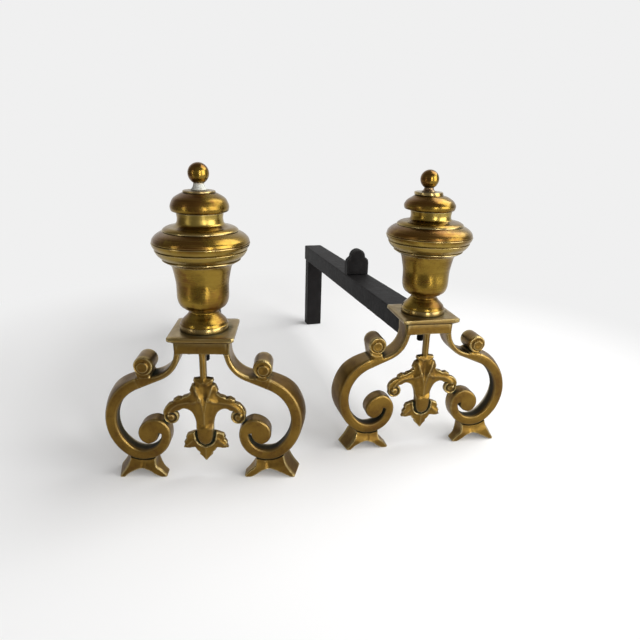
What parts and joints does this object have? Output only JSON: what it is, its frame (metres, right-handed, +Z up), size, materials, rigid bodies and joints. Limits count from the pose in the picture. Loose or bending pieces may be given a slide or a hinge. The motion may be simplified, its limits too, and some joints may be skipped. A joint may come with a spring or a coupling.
{
  "type": "andiron pair",
  "caption": "Pair of brass andirons with hollow urn finials, scrolled legs and a leaf drop, on iron log bars with a rear leg and a log stop.",
  "frame": {"origin": "bottom centre of the box that holds the pair as it stands in the picture", "axes": "+X to the right and +Y to the back seen from the front of the left andiron, +Z up"},
  "size_m": [0.489, 0.603, 0.3504],
  "materials": {
    "urn_brass": "polished, aged",
    "leg_brass": "dull, tarnished in the hollows",
    "iron": "black, dry"
  },
  "bodies": {
    "root": {"left_finial_ball": "urn_brass", "left_cap_washer": "urn_brass", "left_dome_cap": "urn_brass", "left_urn_lid": "urn_brass", "left_belly_ring": "urn_brass", "left_urn_bowl": "urn_brass", "left_urn_foot": "urn_brass", "left_plinth_plate": "leg_brass", "left_apron": "leg_brass", "left_strap_outer": "leg_brass", "left_strap_inner": "leg_brass", "left_scroll_outer": "leg_brass", "left_scroll_inner": "leg_brass", "left_foot_outer": "leg_brass", "left_foot_inner": "leg_brass", "left_leaf_drop": "leg_brass", "left_tie_rod": "iron", "left_tie_washer": "iron", "left_tie_nut": "iron", "left_log_bar": "iron", "left_rear_leg": "iron", "left_log_stop": "iron", "right_finial_ball": "urn_brass", "right_cap_washer": "urn_brass", "right_dome_cap": "urn_brass", "right_urn_lid": "urn_brass", "right_belly_ring": "urn_brass", "right_urn_bowl": "urn_brass", "right_urn_foot": "urn_brass", "right_plinth_plate": "leg_brass", "right_apron": "leg_brass", "right_strap_outer": "leg_brass", "right_strap_inner": "leg_brass", "right_scroll_outer": "leg_brass", "right_scroll_inner": "leg_brass", "right_foot_outer": "leg_brass", "right_foot_inner": "leg_brass", "right_leaf_drop": "leg_brass", "right_tie_rod": "iron", "right_tie_washer": "iron", "right_tie_nut": "iron", "right_log_bar": "iron", "right_rear_leg": "iron", "right_log_stop": "iron"}
  },
  "joints": []
}
